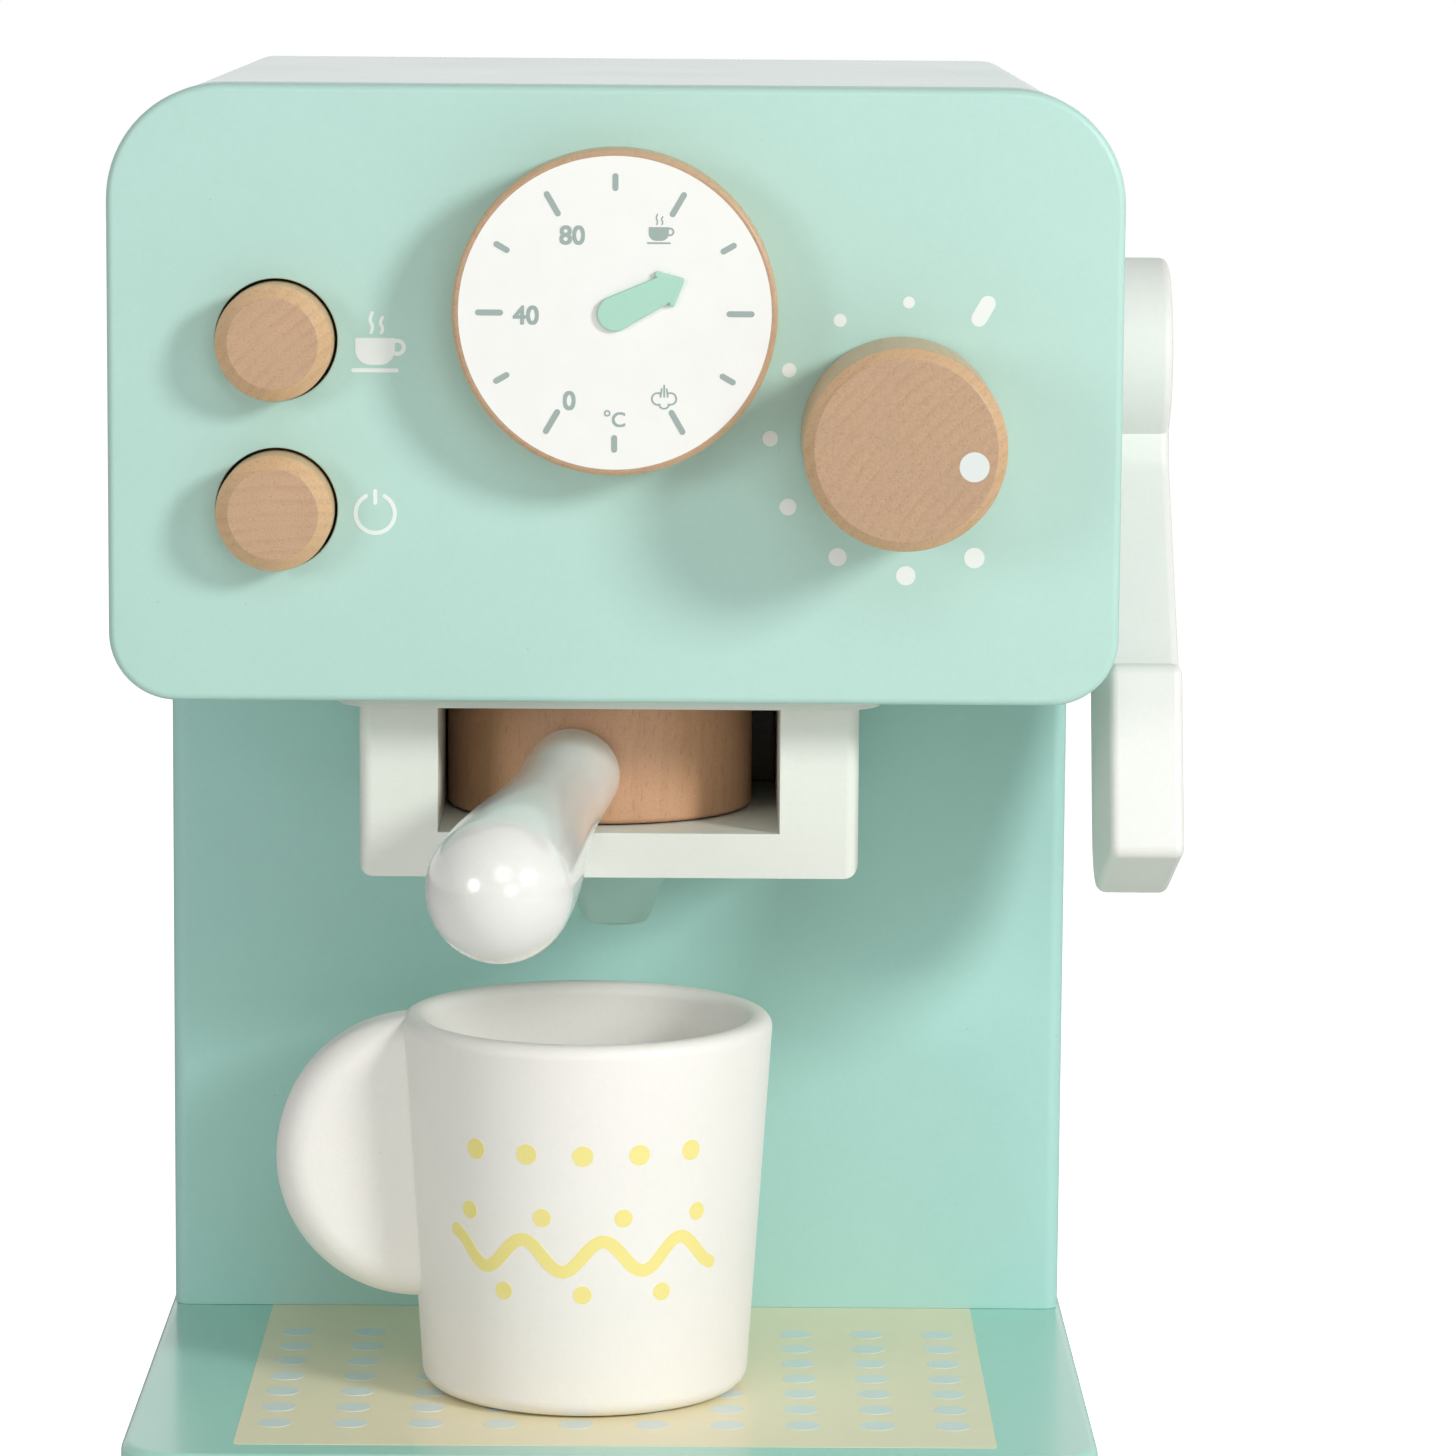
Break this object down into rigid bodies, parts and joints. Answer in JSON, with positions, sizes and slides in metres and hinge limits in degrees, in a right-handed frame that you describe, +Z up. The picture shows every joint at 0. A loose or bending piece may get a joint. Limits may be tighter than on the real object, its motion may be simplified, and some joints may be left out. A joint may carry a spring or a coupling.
{
  "type": "toy coffee maker",
  "caption": "Wooden toy espresso machine with push buttons, pointer dial, clicking knob, side lever, pull-out portafilter and cup.",
  "frame": {"origin": "middle of the base board's underside", "axes": "+X to the object's right seen from the front, +Y from the front to the back, +Z up"},
  "size_m": [0.194, 0.2663, 0.256],
  "materials": {
    "mint_paint": "satin mint paint on board",
    "white_paint": "satin white paint on turned and sawn wood",
    "pale_mint_paint": "satin pale mint paint on turned wood",
    "natural_beech": "bare beech, sanded fine",
    "screw_steel": "bright zinc plated",
    "spring_steel": "drawn spring wire"
  },
  "bodies": {
    "machine": {"base_board": "mint_paint", "base_screws": "screw_steel", "left_side_board": "mint_paint", "right_side_board": "mint_paint", "column_front_board": "mint_paint", "column_dowels": "natural_beech", "back_board": "mint_paint", "back_screws": "screw_steel", "top_board": "mint_paint", "top_dowels": "natural_beech", "head_floor_board": "mint_paint", "front_panel": "mint_paint", "panel_dowels": "natural_beech", "button_guide_board": "natural_beech", "guide_spacers": "natural_beech", "guide_screws": "screw_steel", "dial_disc": "natural_beech", "click_spring": "spring_steel", "click_spring_block": "natural_beech", "click_spring_screw": "screw_steel", "lever_washer": "natural_beech", "group_plate": "white_paint", "group_frame": "white_paint", "frame_back_stop": "natural_beech", "frame_screws": "screw_steel", "nozzle": "pale_mint_paint"},
    "brew_button_unit": {"brew_button": "natural_beech", "brew_button_collar": "natural_beech", "brew_button_spring": "spring_steel"},
    "power_button_unit": {"power_button": "natural_beech", "power_button_collar": "natural_beech", "power_button_spring": "spring_steel"},
    "pointer_unit": {"dial_pointer": "mint_paint", "pointer_axle": "natural_beech", "pointer_collar": "natural_beech"},
    "knob_unit": {"control_knob": "natural_beech", "knob_axle": "natural_beech", "click_wheel": "natural_beech"},
    "lever_unit": {"side_lever": "white_paint", "lever_axle": "natural_beech", "lever_collar": "natural_beech"},
    "portafilter": {"portafilter_disc": "natural_beech", "portafilter_handle": "white_paint", "handle_dowel": "natural_beech"},
    "cup": {"cup_body": "white_paint", "cup_ear": "white_paint", "ear_dowel": "natural_beech"}
  },
  "joints": [
    {"name": "brew_button_press", "type": "slide", "parent": "machine", "child": "brew_button_unit", "axis": [0, 1, 0], "range_m": [0, 0.005], "stiffness_N_per_m": 150, "springref_m": -0.002, "deforming": ["brew_button_spring"]},
    {"name": "power_button_press", "type": "slide", "parent": "machine", "child": "power_button_unit", "axis": [0, 1, 0], "range_m": [0, 0.005], "stiffness_N_per_m": 150, "springref_m": -0.002, "deforming": ["power_button_spring"]},
    {"name": "pointer_turn", "type": "hinge", "parent": "machine", "child": "pointer_unit", "pos_m": [0, -0.1085, 0.217], "axis": [0, 1, 0], "continuous": true},
    {"name": "knob_turn", "type": "hinge", "parent": "machine", "child": "knob_unit", "pos_m": [0.0506, -0.096, 0.1947], "axis": [0, 1, 0], "continuous": true},
    {"name": "lever_swing", "type": "hinge", "parent": "machine", "child": "lever_unit", "pos_m": [0.0904, -0.016, 0.2035], "axis": [-1, 0, 0], "continuous": true},
    {"name": "portafilter_pull", "type": "slide", "parent": "machine", "child": "portafilter", "axis": [0, -1, 0], "range_m": [0, 0.09]},
    {"name": "cup_take", "type": "slide", "parent": "machine", "child": "cup", "axis": [0, -1, 0], "range_m": [0, 0.12]}
  ]
}
